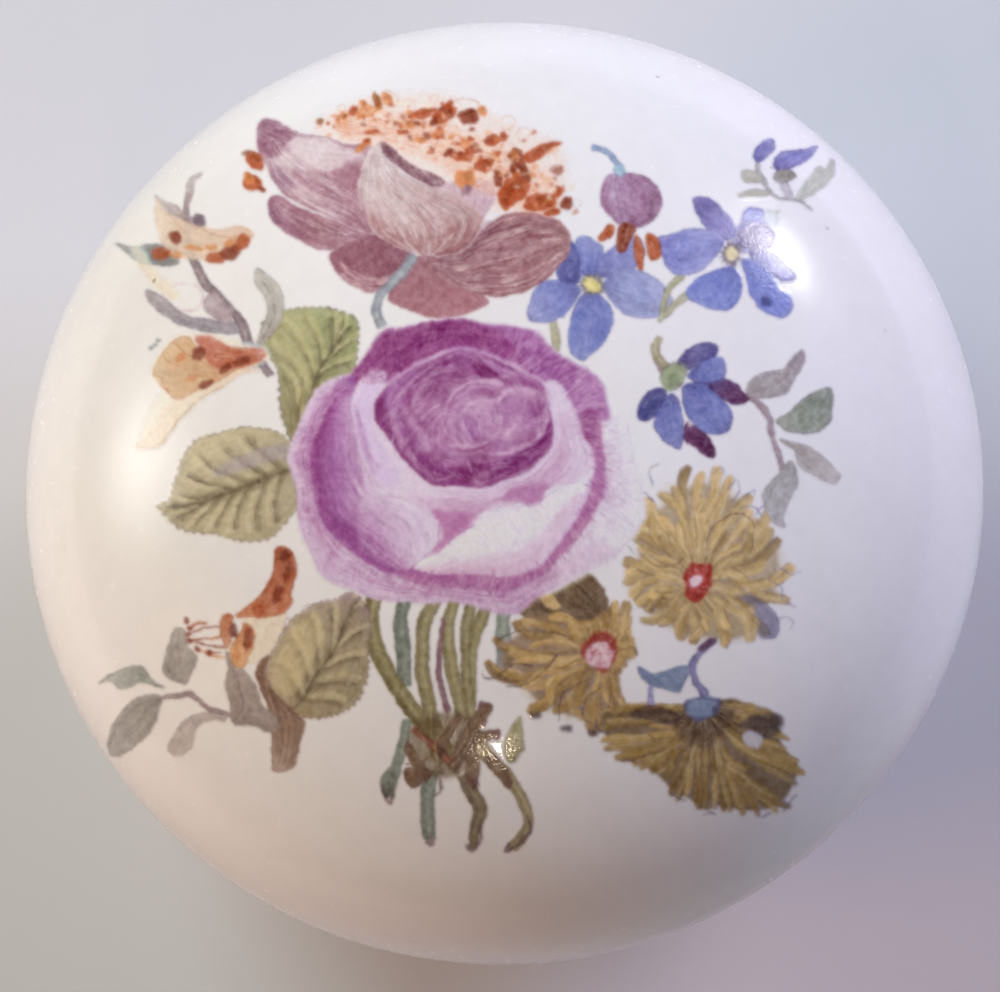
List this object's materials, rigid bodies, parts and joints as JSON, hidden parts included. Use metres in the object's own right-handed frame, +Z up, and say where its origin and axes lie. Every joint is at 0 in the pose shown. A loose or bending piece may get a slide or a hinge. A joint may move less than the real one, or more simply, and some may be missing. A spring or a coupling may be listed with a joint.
{
  "type": "powder jar",
  "caption": "Round footed porcelain powder jar with a loose domed cover, painted with a flower bouquet, holding loose powder and a ribboned powder puff.",
  "frame": {"origin": "centre of the foot ring's resting face", "axes": "+Z up through the crown of the cover, +Y towards the top of the painted bouquet, -Y is the front"},
  "size_m": [0.1, 0.1, 0.073],
  "materials": {
    "porcelain_body": "gloss",
    "porcelain_lid": "gloss",
    "face_powder": "matte",
    "puff_plush": "matte",
    "puff_card": "matte",
    "puff_satin": "satin",
    "puff_cord": "satin",
    "puff_ribbon": "satin"
  },
  "bodies": {
    "jar": {"jar_body": "porcelain_body", "loose_powder": "face_powder"},
    "cover": {"lid": "porcelain_lid"},
    "puff": {"puff_pad": "puff_plush", "puff_card": "puff_card", "puff_backing": "puff_satin", "puff_piping": "puff_cord", "puff_ribbon": "puff_ribbon"}
  },
  "joints": [
    {"name": "lid_lift", "type": "slide", "parent": "jar", "child": "cover", "axis": [0, 0, 1], "range_m": [0, 0.16]},
    {"name": "puff_lift", "type": "slide", "parent": "jar", "child": "puff", "axis": [0, 0, 1], "range_m": [0, 0.07]}
  ],
  "couplings": [
    {"joint": "puff_lift", "follows": "lid_lift", "ratio": 0.4375}
  ]
}
